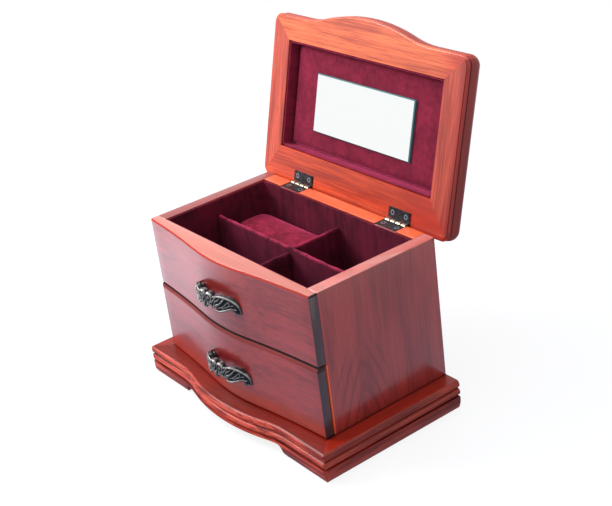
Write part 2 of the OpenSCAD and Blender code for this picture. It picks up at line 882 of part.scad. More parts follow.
module lid_front_rail() {
    o = [lid_half, lid_y0];
    i = [rec_half, rec_y0];
    color([0.80, 0.33, 0.17])
        opened()
            difference() {
                lid_round_corners() {
                    translate([0, rec_y0, lid_z])
                        linear_extrude(lid_t)
                            bow_core(lid_half, lid_front_rail_w - moulding_w / 2);
                    translate([0, lid_y0, lid_z])
                        bow_sweep(lid_half, 0, edge_bow, edge_half, edge_r, edge_a)
                            lid_profile(moulding_w);
                }
                mitre_side(o, i, -1);
                mirror([1, 0, 0]) mitre_side(o, i, -1);
                lid_inside();
            }
}

module lid_back_rail() {
    o = [lid_half, lid_y1];
    i = [rec_half, rec_y1];
    color([0.78, 0.30, 0.16])
        opened()
            difference() {
                lid_round_corners()
                    translate([-lid_half, lid_y1, lid_z])
                        rotate([90, 0, 90])
                            linear_extrude(2 * lid_half) lid_profile(lid_back_rail_w);
                mitre_side(o, i, 1);
                mirror([1, 0, 0]) mitre_side(o, i, 1);
                lid_inside();
                lid_screw_spots() screw_bore();
            }
}

module lid_stile() {
    fo = [lid_half, lid_y0];
    fi = [rec_half, rec_y0];
    bo = [lid_half, lid_y1];
    bi = [rec_half, rec_y1];
    difference() {
        lid_round_corners([0])
            translate([lid_half, lid_y1, lid_z])
                rotate([90, 0, 0]) linear_extrude(lid_y1 - lid_y0) lid_profile(stile_w);
        mitre_side(fo, fi, 1);
        mitre_side(bo, bi, -1);
        lid_inside();
    }
}

module lid_right_stile() {
    color([0.72, 0.28, 0.17]) opened() lid_stile();
}

module lid_left_stile() {
    color([0.72, 0.28, 0.17]) opened() mirror([1, 0, 0]) lid_stile();
}

module lid_panel() {
    g = 0.15;
    color([0.55, 0.18, 0.10])
        opened()
            translate([-rec_half - panel_lap + g, rec_y0 - panel_lap + g, lid_z + recess_d])
                cube([2 * (rec_half + panel_lap - g), rec_y1 - rec_y0 + 2 * (panel_lap - g),
                      lid_t - recess_d]);
}

module lid_lining_band() {
    color([0.55, 0.13, 0.30])
        opened()
            translate([0, 0, lid_z + band_drop])
                band(rec_half - loose, rec_y0 + loose, rec_y1 - loose, band_t, band_r,
                     recess_d - band_drop);
}

// Padded velvet panel with a quarter-round edge, flat where the mirror lies.
module lid_pad() {
    r = lid_pad_t;
    x = rec_half - 2 * loose - band_t - r;
    y = (rec_y1 - rec_y0) / 2 - 2 * loose - band_t - r;
    color([0.42, 0.09, 0.20])
        opened()
            translate([0, rec_mid, lid_z + recess_d - lid_pad_t]) {
                translate([-x, -y, 0]) cube([2 * x, 2 * y, r]);
                for (q = [[0, x, y], [90, y, x], [180, x, y], [270, y, x]]) {
                    rotate([0, 0, q[0]]) {
                        translate([q[1], q[2], 0])
                            rotate([90, 0, 0]) linear_extrude(2 * q[2]) pad_edge(r);
                        translate([q[1], q[2], 0]) rotate_extrude(angle = 90) pad_edge(r);
                    }
                }
            }
}

// Section of a padded panel's edge, its rounded side at the lower face.
module pad_edge(r) {
    intersection() {
        square([r, r]);
        translate([0, r]) circle(r = r);
    }
}

// Mirror glass with a small step ground along its front edge.
module lid_mirror() {
    c = 0.4;
    color([0.86, 0.90, 0.90])
        opened()
            translate([0, rec_mid - mirror_up, lid_z + recess_d - lid_pad_t])
                mirror([0, 0, 1]) {
                    linear_extrude(mirror_t - c) square([mirror_w, mirror_h], center = true);
                    linear_extrude(mirror_t)
                        square([mirror_w - 2 * c, mirror_h - 2 * c], center = true);
                }
}

// ---- drawer ----

module drawer_front() {
    color([0.64, 0.28, 0.28])
        translate([0, -drawer_ajar, 0])
            difference() {
                bow_front(drawer_z, drawer_front_h);
                pull_bores(in_front, drawer_z + drawer_pull_z);
            }
}

module drawer_side() {
    difference() {
        translate([box_half - drawer_t, box_front, box_z])
            cube([drawer_t, box_back - box_front, drawer_side_h]);
        translate([box_half - drawer_t - 1, box_front - 1, groove_z])
            cube([drawer_t / 2 + 1, box_back - box_front + 2, drawer_bottom_t + 0.2]);
    }
}

module drawer_right_side() {
    color([0.58, 0.30, 0.18]) drawer_side();
}

module drawer_left_side() {
    color([0.58, 0.30, 0.18]) mirror([1, 0, 0]) drawer_side();
}

module drawer_back() {
    color([0.58, 0.30, 0.18])
        translate([-box_half + drawer_t, box_back - drawer_t, groove_z + drawer_bottom_t + 0.2])
            cube([2 * (box_half - drawer_t), drawer_t,
                  drawer_side_h - 3.2 - drawer_bottom_t]);
}

module drawer_bottom() {
    color([0.52, 0.28, 0.17])
        translate([-box_half + drawer_t / 2 + 0.1, box_front, groove_z + 0.1])
            cube([2 * (box_half - drawer_t / 2 - 0.1), box_back - box_front, drawer_bottom_t]);
}

module drawer_floor_pad() {
    color([0.36, 0.08, 0.18])
        translate([-box_half + drawer_t + loose, box_front + loose,
                   groove_z + drawer_bottom_t + 0.1])
            cube([2 * (box_half - drawer_t - loose),
                  box_back - drawer_t - box_front - 2 * loose, pad_t]);
}

module drawer_pull() {
    pull_at(front_y - drawer_ajar, drawer_z + drawer_pull_z);
}

module drawer_pull_screws() {
    pull_screw_pair(box_front, drawer_z + drawer_pull_z);
}

plinth_front_rail();
plinth_left_rail();
plinth_right_rail();
plinth_back_rail();
case_floor();
case_left_side();
case_right_side();
case_back();
upper_front();
tray_shelf();
tray_lining_band();
tray_floor_pad();
long_divider();
cross_divider();
ring_cushion();
upper_pull();
upper_pull_screws();
left_hinge_case_leaf();
right_hinge_case_leaf();
left_hinge_pin();
right_hinge_pin();
hinge_screws_case();
left_hinge_lid_leaf();
right_hinge_lid_leaf();
hinge_screws_lid();
lid_front_rail();
lid_back_rail();
lid_left_stile();
lid_right_stile();
lid_panel();
lid_lining_band();
lid_pad();
lid_mirror();
drawer_front();
drawer_left_side();
drawer_right_side();
drawer_back();
drawer_bottom();
drawer_floor_pad();
drawer_pull();
drawer_pull_screws();
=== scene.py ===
import bpy, bmesh, json, math
import numpy as np
from mathutils import Matrix, Vector


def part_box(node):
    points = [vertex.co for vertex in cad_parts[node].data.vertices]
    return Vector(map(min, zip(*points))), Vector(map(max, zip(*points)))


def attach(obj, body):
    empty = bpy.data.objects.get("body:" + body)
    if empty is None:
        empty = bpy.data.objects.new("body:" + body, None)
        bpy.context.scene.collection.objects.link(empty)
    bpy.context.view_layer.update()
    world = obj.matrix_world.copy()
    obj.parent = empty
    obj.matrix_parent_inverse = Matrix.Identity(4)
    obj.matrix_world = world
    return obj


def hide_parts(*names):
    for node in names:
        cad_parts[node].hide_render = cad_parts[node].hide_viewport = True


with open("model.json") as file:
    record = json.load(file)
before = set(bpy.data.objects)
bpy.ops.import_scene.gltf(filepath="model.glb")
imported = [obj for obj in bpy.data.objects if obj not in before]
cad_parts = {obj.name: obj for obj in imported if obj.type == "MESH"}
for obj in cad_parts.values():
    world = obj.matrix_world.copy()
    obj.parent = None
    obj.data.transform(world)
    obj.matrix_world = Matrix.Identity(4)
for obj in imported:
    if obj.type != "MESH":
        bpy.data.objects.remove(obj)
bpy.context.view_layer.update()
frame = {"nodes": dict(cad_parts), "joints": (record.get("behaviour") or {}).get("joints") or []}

scene = bpy.context.scene

# ---- Camera ----
# The casket is seen from its front right, a little above the open lid, through a lens
# that is long enough to keep its upright edges nearly parallel.
eye = bpy.data.objects.new("camera", bpy.data.cameras.new("camera"))
eye.data.lens = 74.375
eye.data.sensor_width = 36
right = Vector((0.608529, 0.784328, -0.120511))
down = Vector((0.277685, -0.352740, -0.893569))
ahead = Vector((-0.743360, 0.510298, -0.432448))
turn = Matrix((right, -down, -ahead)).transposed().to_4x4()
eye.matrix_world = Matrix.Translation((0.778187, -0.533165, 0.572819)) @ turn
scene.collection.objects.link(eye)
scene.camera = eye


# ---- Plinth ----
# Four rails of stained hardwood under a satin lacquer, mitred at the front and butted at
# the back. Mouldings run along three of them, and the front one is bowed like the drawer.
class Wire:
    """A shader socket. Arithmetic on it adds Math nodes to its finish."""

    def __init__(self, finish, socket):
        self.finish, self.socket = finish, socket

    def __add__(self, other): return self.finish.maths("ADD", self, other)
    def __sub__(self, other): return self.finish.maths("SUBTRACT", self, other)
    def __rsub__(self, other): return self.finish.maths("SUBTRACT", other, self)
    def __mul__(self, other): return self.finish.maths("MULTIPLY", self, other)
    def __pow__(self, other): return self.finish.maths("POWER", self, other)
    __radd__ = __add__
    __rmul__ = __mul__

    def sine(self): return self.finish.maths("SINE", self)
    def squared(self): return self * self
    def root(self): return self.finish.maths("SQRT", self)
    def size(self): return self.finish.maths("ABSOLUTE", self)

    def ramp(self, low, high):
        """0 below low, 1 above high, smooth between them."""
        return self.finish.node(
            "ShaderNodeMapRange", {"interpolation_type": "SMOOTHSTEP"},
            {0: self, 1: low, 2: high, 3: 0.0, 4: 1.0})


class Finish:
    """A surface finish: one material, whose nodes are added type by type."""

    def __init__(self, name):
        self.material = bpy.data.materials.new(name)
        self.material.use_nodes = True
        self.nodes = self.material.node_tree.nodes
        self.links = self.material.node_tree.links
        self.nodes.clear()

    def node(self, kind, settings=None, inputs=None, out=0):
        node = self.nodes.new(kind)
        for key, value in (settings or {}).items():
            setattr(node, key, value)
        for key, value in (inputs or {}).items():
            if isinstance(value, Wire):
                self.links.new(value.socket, node.inputs[key])
            else:
                node.inputs[key].default_value = value
        return Wire(self, node.outputs[out])

    def maths(self, operation, *values):
        return self.node("ShaderNodeMath", {"operation": operation}, dict(enumerate(values)))

    def blend(self, amount, first, second):
        colours = {0: amount, 6: first, 7: second}
        return self.node("ShaderNodeMix", {"data_type": "RGBA"}, colours, out=2)

    def noise(self, vector, scale, detail=3.0, rough=0.5, warp=0.0):
        return self.node("ShaderNodeTexNoise", None, {
            "Vector": vector, "Scale": scale, "Detail": detail,
            "Roughness": rough, "Distortion": warp})

    def place(self, shift=(0, 0, 0), turned=(0, 0, 0), scale=(1, 1, 1), vector=None):
        vector = vector or self.node("ShaderNodeTexCoord", out="Object")
        return self.node("ShaderNodeMapping", None, {
            "Vector": vector, "Location": shift, "Rotation": turned, "Scale": scale})

    def bump(self, height, strength, distance):
        return self.node("ShaderNodeBump", None, {
            "Strength": strength, "Distance": distance, "Height": height})

    def axis(self, name, vector):
        """The x, y or z of a vector."""
        return self.node("ShaderNodeSeparateXYZ", None, {0: vector}, out="xyz".index(name))

    def surface(self, **inputs):
        named = {key.replace("_", " "): value for key, value in inputs.items()}
        return self.shown_as(self.node("ShaderNodeBsdfPrincipled", None, named))

    def shown_as(self, shader):
        end = self.nodes.new("ShaderNodeOutputMaterial")
        self.links.new(shader.socket, end.inputs["Surface"])
        return self.material


hinge = next(j for j in frame["joints"] if j["name"] == "lid_hinge")
pin = Vector(hinge["pos_m"])
open_turn = math.radians(hinge["range_deg"][1])
SHUT = Matrix.Translation(pin) @ Matrix.Rotation(open_turn, 4, "X") @ Matrix.Translation(-pin)


def tint(colour, factor):
    return tuple(min(c * factor, 1.0) for c in colour[:3]) + (1.0,)


def dyed(colour, red, green, blue):
    return (colour[0] * red, colour[1] * green, colour[2] * blue, 1)


def stained_wood(name, along, colour, seed, heart=None, lid=False, gloss=0.42, contrast=1.0,
                 coat=0.9, zones=()):
    """Stained, lacquered hardwood whose grain runs along x, y or z of the shut casket.

    heart is the (y, z) of a flat-sawn board's heart. Each zone is (limits, colour, share):
    where all limits (axis, from, to) are passed, the wood has that colour, its own stained tone in
    some zones and painted light or shade in others, and the lacquer that share of its shine. "side"
    is x either way.
    """
    f = Finish(name)
    here = f.place(shift=SHUT.translation, turned=(open_turn, 0, 0)) if lid else f.place()

    def grain(length, width, detail, rough, warp=0.0):
        """Noise whose marks are drawn out along the grain, length by width in metres."""
        scale = [1 / width] * 3
        scale["xyz".index(along)] = 1 / length
        drawn = f.place(shift=(seed * 3.1, seed * 1.7, seed * 2.3), scale=scale, vector=here)
        return f.noise(drawn, 1.0, detail, rough, warp)

    clouds = grain(0.10, 0.035, 2.0, 0.5, 0.4)
    bands = grain(0.16, 0.009, 3.0, 0.55, 0.6)
    streaks = grain(0.045, 0.0016, 3.0, 0.6, 0.2)
    pores = grain(0.012, 0.0007, 2.0, 0.5)
    figure = bands * 0.36 + streaks * 0.38 + clouds * 0.26
    x, y, z = (f.axis(k, here) for k in "xyz")
    if heart:
        # Growth rings cut at a slant show as a nest of pointed arches round the heart.
        across, up = (y - heart[0]) * 100.0, (z - heart[1]) * 90.0
        arch = ((across.squared() + 0.15).root() * 2.2 + up + clouds * 3.0 + bands * 1.2) * 3.2
        near = (1 - across.size().ramp(1.6, 3.2)) * (1 - up.ramp(-0.3, 1.2))
        figure = figure - (arch.sine() * 0.5 + 0.5) ** 4 * near * 0.14
    spread, deep = 0.17 / contrast, contrast ** -0.5
    tone = figure.ramp(0.5 - spread, 0.5 + spread)
    fleck = pores.ramp(0.60, 0.72) * bands.ramp(0.42, 0.6)
    late_wood = dyed(colour, 0.66 * deep, 0.52 * deep, 0.62 * deep)
    base = f.blend(tone, late_wood, dyed(colour, 1.2, 1.45, 1.35))
    base = f.blend(fleck * 0.5, base, tint(colour, 0.24))
    where = {"x": x, "y": y, "z": z, "side": x.size()}
    shine, rough = coat, streaks * 0.10 + (gloss - 0.05)
    for limits, stain_and_shade, share in zones:
        inside = 1.0
        for axis, start, stop in limits:
            inside = where[axis].ramp(start, stop) * inside
        base = f.blend(inside, base, f.blend(tone, tint(stain_and_shade, 0.84), tint(stain_and_shade, 1.14)))
        shine = (1 - inside * (1 - share)) * shine
        rough = inside * (0.45 * max(1 - share, 0)) + rough
    return f.surface(
        Base_Color=base, Roughness=rough, Specular_IOR_Level=0.45 * coat,
        Coat_Weight=shine, Coat_Roughness=0.2, Coat_IOR=1.7,
        Normal=f.bump(streaks * 0.6 + bands * 0.4 - fleck * 0.5, 0.05, 0.0003))


def finish_node(node, material):
    for slot in frame["nodes"][node].material_slots:
        slot.material = material


PLINTH_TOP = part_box("plinth_front_rail")[1].z
SHADE_OUTSIDE, SHADE_INSIDE = 0.1118, 0.1098
on_top = ("z", PLINTH_TOP - 0.0006, PLINTH_TOP - 0.0002)
# Painted shade darkens the corner between a side board and the rail it stands on.
contact_shade = ((on_top, ("side", SHADE_OUTSIDE, SHADE_INSIDE)), (0.045, 0.004, 0.003), 0.1)
# On its top ledge each rail is painted darker and redder, a painted shade under the case, and given
# more lacquer shine.
long_rail = {"colour": (0.46, 0.052, 0.034), "coat": 0.18, "contrast": 3.0,
             "zones": (((on_top,), (0.18, 0.007, 0.002), 1.4),)}
side_rail = {"colour": (0.27, 0.025, 0.015), "coat": 0.26, "contrast": 2.3,
             "zones": (((on_top,), (0.27, 0.011, 0.002), 1.4), contact_shade)}
for node, along, seed, stain_and_shade in (
        ("plinth_front_rail", "x", 1, long_rail), ("plinth_back_rail", "x", 2, long_rail),
        ("plinth_left_rail", "y", 3, side_rail), ("plinth_right_rail", "y", 14, side_rail)):
    finish_node(node, stained_wood(
        "plinth_wood_" + str(seed), along, seed=seed, gloss=0.5, **stain_and_shade))

# ---- Case ----
# Sides, back and floor of the same hardwood. The sides show their long grain upright,
# with the heart figure of a flat-sawn board low in the right one. Arrises are sanded off.


def eased_board(node, name, width, material, clear_of=(), segments=3, crown=None):
    """A copy of a CAD board with its sharp edges rounded over, apart from bores.

    crown is (height, share, depth): edges lower or deeper than this get the share alone.
    """
    flat_within, sharp_from, bore_reach = math.radians(0.6), 0.6, 0.006
    mesh = frame["nodes"][node].data.copy()
    bm = bmesh.new()
    bm.from_mesh(mesh)
    bmesh.ops.remove_doubles(bm, verts=bm.verts, dist=1e-6)
    bmesh.ops.dissolve_limit(bm, angle_limit=flat_within, verts=bm.verts, edges=bm.edges)
    weight = bm.edges.layers.float.new("bevel_weight_edge")
    for edge in bm.edges:
        middle = (edge.verts[0].co + edge.verts[1].co) / 2
        bored = any(math.hypot(middle.x - x, middle.z - z) < bore_reach for x, z in clear_of)
        if len(edge.link_faces) == 2 and edge.calc_face_angle() > sharp_from and not bored:
            outer = crown is None or (middle.z > crown[0] and middle.y < crown[2])
            edge[weight] = 1.0 if outer else crown[1]
    bm.to_mesh(mesh)
    bm.free()
    if "custom_normal" in mesh.attributes:
        mesh.attributes.remove(mesh.attributes["custom_normal"])
    board = bpy.data.objects.new(name, mesh)
    scene.collection.objects.link(board)
    edges = board.modifiers.new("eased", "BEVEL")
    edges.width, edges.segments, edges.limit_method = width, segments, "WEIGHT"
    edges.use_clamp_overlap = True
    return made(board, material)


def made(piece, material, smooth=40):
    """Applies a piece's modifiers and gives it its finish and its shading."""
    graph = bpy.context.evaluated_depsgraph_get()
    mesh = bpy.data.meshes.new_from_object(piece.evaluated_get(graph))
    piece.modifiers.clear()
    piece.data = mesh
    mesh.materials.clear()
    mesh.materials.append(material)
    mesh.shade_smooth()
    mesh.set_sharp_from_angle(angle=math.radians(smooth))
    return piece


def fit(piece, body, slot, *nodes):
    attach(piece, body)
    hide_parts(*nodes)


CHERRY = (0.27, 0.018, 0.014)
EDGE_HIGHLIGHT = (0.70, 0.085, 0.025)
PALE_WOOD = (0.42, 0.20, 0.09)
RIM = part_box("case_left_side")[1].z
UPPER_FRONT_FOOT = 0.0880
on_rim = ("z", RIM - 0.0007, RIM - 0.0002)
# Each side board's top face is painted paler and pinker than its sides as a painted highlight,
# paler on the right board than on the left as the light falls.
for node, name, seed, heart, rim_highlight, polish in (
        ("case_left_side", "left_side_board", 5, (-0.02, 0.02), (0.27, 0.030, 0.030), 0.72),
        ("case_right_side", "right_side_board", 6, (-0.038, 0.080), (0.53, 0.125, 0.105), 1.0)):
    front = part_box(node)[0].y
    # Below the upper front a side's own front edge shows, painted orange as a highlight.
    lit_front_edge = (("y", front + 0.0012, front + 0.0008),
                 ("z", UPPER_FRONT_FOOT + 0.0004, UPPER_FRONT_FOOT))
    wood = stained_wood(
        "case_wood_" + str(seed), "z", CHERRY, seed, heart, contrast=1.1,
        zones=(((on_rim,), rim_highlight, polish), (lit_front_edge, EDGE_HIGHLIGHT, 0.5)))
    fit(eased_board(node, name, 0.0007, wood), "case", "case_wood", node)
# The back board's top face is painted bright orange, a painted highlight.
back_wood = stained_wood(
    "case_wood_back", "x", CHERRY, 7, zones=(((on_rim,), (0.70, 0.095, 0.018), 0.6),))
fit(eased_board("case_back", "back_board", 0.0005, back_wood), "case", "case_wood", "case_back")
inner_wood = stained_wood("inner_wood", "x", PALE_WOOD, 8, gloss=0.5)
for node in ("case_floor", "tray_shelf"):
    finish_node(node, inner_wood)

# ---- Fixed upper front ----
# A board bowed like the drawer below it, glued between the sides. Its grain runs across,
# and its pull is only for show.
FRONT_RED = (0.28, 0.015, 0.014)
END_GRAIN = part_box("upper_front")[1].x - 0.0012
end_grain = ((("side", END_GRAIN, END_GRAIN + 0.0006),), (0.030, 0.008, 0.011), 0.9)
# The rounded arris is painted a dull, darker red without lacquer shine, and the top face behind it
# is painted pink and glossy, a painted highlight.
arris = (("z", RIM - 0.0026, RIM - 0.0014), ("z", RIM - 0.0001, RIM - 0.0005))
rim_highlight = (("z", RIM - 0.0004, RIM - 0.0001),)
front_wood = stained_wood(
    "front_wood_upper", "x", FRONT_RED, 9, contrast=1.3,
    zones=((arris, (0.40, 0.024, 0.010), 0.0), (rim_highlight, (0.54, 0.122, 0.082), 1.0), end_grain))


def middle_height(node):
    low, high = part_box(node)
    return (low.z + high.z) / 2


def screw_bores(screws):
    """(x, z) of the two bores that hold a pull's screws."""
    return [(x, middle_height(screws)) for x in (-0.020, 0.020)]


low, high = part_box("upper_front")
fit(eased_board("upper_front", "upper_front_board", 0.0016, front_wood,
                screw_bores("upper_pull_screws"), 4, (high.z - 0.001, 0.4, high.y - 0.004)),
    "case", "front_wood", "upper_front")

# ---- Tray lining ----
# Wine-red velvet over card: a band round the walls with a rounded top, a floor piece, and
# two covered partitions that are halved into each other.


def velvet(name, colour, seed, lid=False, patchy=0.14, sheen_crest=None):
    """Velvet: dark pile, a pink sheen at a slant, and brushed patches in the nap.

    A larger patchy makes lighter and darker patches part more sharply. The last argument
    is the height of a partition's top, where the pile is painted paler as a painted sheen.
    """
    f = Finish(name)
    here = f.place(shift=(seed, seed * 2, seed * 3), turned=(open_turn, 0, 0) if lid else (0, 0, 0))
    brushed = f.noise(here, 38.0, 3.0, 0.6, 1.2)
    lines = f.noise(f.place(scale=(260, 260, 30), vector=here), 1.0, 2.0, 0.5, 0.3)
    nap = f.noise(here, 1800.0, 2.0, 0.7)
    mixed = brushed * 0.45 + lines * 0.30 + nap * 0.25
    spread = 0.02 / patchy
    tone = mixed.ramp(0.5 - spread, 0.5 + spread)
    base = f.blend(tone, tint(colour, 0.5), tint(colour, 1.6))
    if sheen_crest:
        # Painted sheen: the pile near a partition's top is painted paler.
        near_top = f.axis("z", f.place()).ramp(sheen_crest - 0.0020, sheen_crest - 0.0002)
        base = f.blend(near_top * brushed.ramp(0.35, 0.6), base, (0.32, 0.020, 0.062, 1))
    return f.surface(
        Base_Color=base, Roughness=nap * 0.1 + 0.85, Specular_IOR_Level=0.15,
        Sheen_Weight=1.0, Sheen_Roughness=0.32, Sheen_Tint=(0.80, 0.10, 0.27, 1),
        Normal=f.bump(nap * 0.7 + brushed * 0.3, 0.35, 0.0006))


def built(name, bm, material, smooth):
    """A closed piece with its faces turned outwards."""
    bmesh.ops.recalc_face_normals(bm, faces=bm.faces)
    mesh = bpy.data.meshes.new(name)
    bm.to_mesh(mesh)
    bm.free()
    piece = bpy.data.objects.new(name, mesh)
    scene.collection.objects.link(piece)
    return made(piece, material, smooth)


CORNER_STEPS = 5


def sweep_tree():
    """Geometry Nodes: a rounded bar is swept along a curve, scaled by the curve's radius."""
    tree = bpy.data.node_groups.new("swept_bar", "GeometryNodeTree")
    face = tree.interface
    face.new_socket("Geometry", in_out="INPUT", socket_type="NodeSocketGeometry")
    for name in ("Width", "Height", "Round"):
        face.new_socket(name, in_out="INPUT", socket_type="NodeSocketFloat")
    face.new_socket("Finish", in_out="INPUT", socket_type="NodeSocketMaterial")
    face.new_socket("Geometry", in_out="OUTPUT", socket_type="NodeSocketGeometry")

    def add(kind, settings=None, **links):
        node = tree.nodes.new(kind)
        for key, value in (settings or {}).items():
            setattr(node, key, value)
        for key, value in links.items():
            socket = node.inputs[key.replace("_", " ")]
            if hasattr(value, "is_output"):
                tree.links.new(value, socket)
            else:
                socket.default_value = value
        return node

    given = add("NodeGroupInput").outputs
    level = add("GeometryNodeSetCurveNormal", {"mode": "Z_UP"}, Curve=given["Geometry"])
    bar = add("GeometryNodeCurvePrimitiveQuadrilateral",
              Width=given["Width"], Height=given["Height"])
    soft = add("GeometryNodeFilletCurve", {"mode": "POLY"}, Curve=bar.outputs[0],
               Radius=given["Round"], Limit_Radius=True)
    soft.inputs["Count"].default_value = CORNER_STEPS
    radius = add("GeometryNodeInputRadius")
    swept = add("GeometryNodeCurveToMesh", Curve=level.outputs[0], Profile_Curve=soft.outputs[0],
                Scale=radius.outputs[0], Fill_Caps=True)
    real = add("GeometryNodeRealizeInstances", Geometry=swept.outputs[0])
    last = add("GeometryNodeSetMaterial", Geometry=real.outputs[0], Material=given["Finish"])
    tree.links.new(last.outputs[0], add("NodeGroupOutput").inputs[0])
    return tree


SWEEP = sweep_tree()


def swept(name, lines, width, height, rounding, material, closed=False):
    """One mesh of bars swept along lines of (x, y, z, radius) points."""
    curve = bpy.data.curves.new(name, "CURVE")
    curve.dimensions = "3D"
    for line in lines:
        spline = curve.splines.new("POLY")
        spline.points.add(len(line) - 1)
        for point, (x, y, z, radius) in zip(spline.points, line):
            point.co, point.radius = (x, y, z, 1), radius
        spline.use_cyclic_u = closed
    piece = bpy.data.objects.new(name, curve)
    scene.collection.objects.link(piece)
    sweep = piece.modifiers.new("swept", "NODES")
    sweep.node_group = SWEEP
    keys = {item.name: item.identifier for item in SWEEP.interface.items_tree}
    for key, value in (("Width", width), ("Height", height), ("Round", rounding),
                       ("Finish", material)):
        sweep[keys[key]] = value
    graph = bpy.context.evaluated_depsgraph_get()
    bm = bmesh.new()
    bm.from_mesh(bpy.data.meshes.new_from_object(piece.evaluated_get(graph)))
    bmesh.ops.remove_doubles(bm, verts=bm.verts, dist=1e-7)
    bpy.data.objects.remove(piece)
    return built(name, bm, material, 50)


def round_path(x0, y0, x1, y1, z, r, steps=6):
    """A closed level rectangle with rounded corners."""
    points = []
    for cx, cy, start in ((x1 - r, y1 - r, 0), (x0 + r, y1 - r, 90),
                          (x0 + r, y0 + r, 180), (x1 - r, y0 + r, 270)):
        for k in range(steps + 1):
            a = math.radians(start + 90 * k / steps)
            points.append((cx + r * math.cos(a), cy + r * math.sin(a), z, 1.0))
    return points


def velvet_band(name, low, high, material):
    """Velvet over card, standing on edge all round the inside of a box."""
    thick, corner, rounding = 0.0016, 0.003, 0.00075
    inset = thick / 2
    path = round_path(low.x + inset, low.y + inset, high.x - inset, high.y - inset,
                      (low.z + high.z) / 2, corner)
    return swept(name, [path], thick, high.z - low.z, rounding, material, True)


lining_velvet = velvet("velvet_lining", (0.074, 0.004, 0.014), 1)
low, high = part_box("tray_lining_band")
band = velvet_band("tray_wall_velvet", low, high, lining_velvet)
fit(band, "case", "velvet", "tray_lining_band")


def soft_sheet(name, low, high, rounding, material, ripple, seed=1):
    """A covered card: a closed slab with rounded edges and a faintly uneven top."""
    rng = np.random.default_rng(seed)
    # Each wave has its turns along x and y in radians per metre, a shift and a height.
    waves = rng.uniform(-1, 1, (5, 4)) * (60, 60, 3.14, 1)
    nx, ny = 48, 26
    bm = bmesh.new()
    grid = []
    for side in (0, 1):
        rows = []
        for i in range(nx + 1):
            row = []
            for j in range(ny + 1):
                u, v = 2 * i / nx - 1, 2 * j / ny - 1
                dx, dy = (high.x - low.x) / 2, (high.y - low.y) / 2
                x, y = (low.x + high.x) / 2 + u * dx, (low.y + high.y) / 2 + v * dy
                edge = min(dx * (1 - abs(u)), dy * (1 - abs(v)))
                k = min(edge / rounding, 1.0)
                drop = rounding * (1 - math.sqrt(max(1 - (1 - k) ** 2, 0)))
                wave = sum(w[3] * math.sin(w[0] * x + w[1] * y + w[2]) for w in waves)
                z = high.z - drop + ripple * wave / len(waves) * k
                row.append(bm.verts.new((x, y, z if side else low.z)))
            rows.append(row)
        grid.append(rows)
    for i in range(nx):
        for j in range(ny):
            for side in (0, 1):
                quad = [grid[side][i][j], grid[side][i + 1][j],
                        grid[side][i + 1][j + 1], grid[side][i][j + 1]]
                bm.faces.new(quad if side else quad[::-1])
    ring = [(i, 0) for i in range(nx)] + [(nx, j) for j in range(ny)]
    ring += [(i, ny) for i in range(nx, 0, -1)] + [(0, j) for j in range(ny, 0, -1)]
    for (a, b), (c, d) in zip(ring, ring[1:] + ring[:1]):
        bm.faces.new((grid[0][a][b], grid[0][c][d], grid[1][c][d], grid[1][a][b]))
    return built(name, bm, material, 60)


FLOOR_ROUND, FLOOR_RIPPLE = 0.0015, 0.0001
low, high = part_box("tray_floor_pad")
fit(soft_sheet("tray_floor_velvet", low, high, FLOOR_ROUND, lining_velvet, FLOOR_RIPPLE),
    "case", "velvet", "tray_floor_pad")

DIVIDER_RED = (0.070, 0.004, 0.015)
long_velvet = velvet("velvet_long_divider", DIVIDER_RED, 4,
                     sheen_crest=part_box("long_divider")[1].z)
cross_velvet = velvet("velvet_cross_divider", DIVIDER_RED, 5,
                      sheen_crest=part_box("cross_divider")[1].z)


def partition(name, node, along, tops, material):
    """A covered partition: a standing card with a rounded, slightly wavy top roll."""
    low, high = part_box(node)
    axis = 0 if along == "x" else 1
    middle = (low + high) / 2
    thick = (high - low)[1 - axis]
    # Across in shares of the thickness, up in shares of the height. Above the shoulder the
    # height is that of the roll alone.
    shoulder, roll = 0.8, 0.042
    profile = [(-0.5, 0.0), (-0.5, 0.45), (-0.48, 0.8), (-0.52, 0.94), (-0.42, 0.985),
               (-0.22, 1.0), (0.0, 1.004), (0.22, 1.0), (0.42, 0.985), (0.52, 0.94),
               (0.48, 0.8), (0.5, 0.45), (0.5, 0.0)]
    steps = 64
    bm = bmesh.new()
    loops = []
    for i in range(steps + 1):
        t = low[axis] + (high[axis] - low[axis]) * i / steps
        top = tops(t) - 0.0003 + 0.00025 * math.sin(t * 310) + 0.00015 * math.sin(t * 97)
        loop = []
        for across, level in profile:
            wave = 1 + 0.05 * math.sin(t * 130 + level * 4) * (level > 0)
            point = Vector((0, 0, 0))
            point[axis] = t
            point[1 - axis] = middle[1 - axis] + across * thick * 0.94 * wave
            if level <= shoulder:
                point.z = low.z + level * (top - low.z)
            else:
                point.z = top - (1.004 - level) * roll
            loop.append(bm.verts.new(point))
        loops.append(loop)
    n = len(profile)
    for a, b in zip(loops, loops[1:]):
        for k in range(n):
            bm.faces.new((a[k], a[(k + 1) % n], b[(k + 1) % n], b[k]))
    bm.faces.new(loops[0])
    bm.faces.new(loops[-1][::-1])
    return built(name, bm, material, 60)


low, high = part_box("long_divider")
top, crossing = high.z, (low.y + high.y) / 2
fit(partition("long_partition", "long_divider", "x", lambda t: top, long_velvet),
    "case", "velvet", "long_divider")
# In front of the long partition the cross one stands a little lower.
FRONT_STEP = 0.0025
back_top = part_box("cross_divider")[1].z
fit(partition("cross_partition", "cross_divider", "y",
              lambda t: back_top - FRONT_STEP * (t < crossing), cross_velvet),
    "case", "velvet", "cross_divider")

# ---- Ring cushion ----
# A stuffed velvet roll in the back left compartment. Its sides press on the walls, its
# top is crowned, and its ends draw in a little.
CROWN = 0.0015


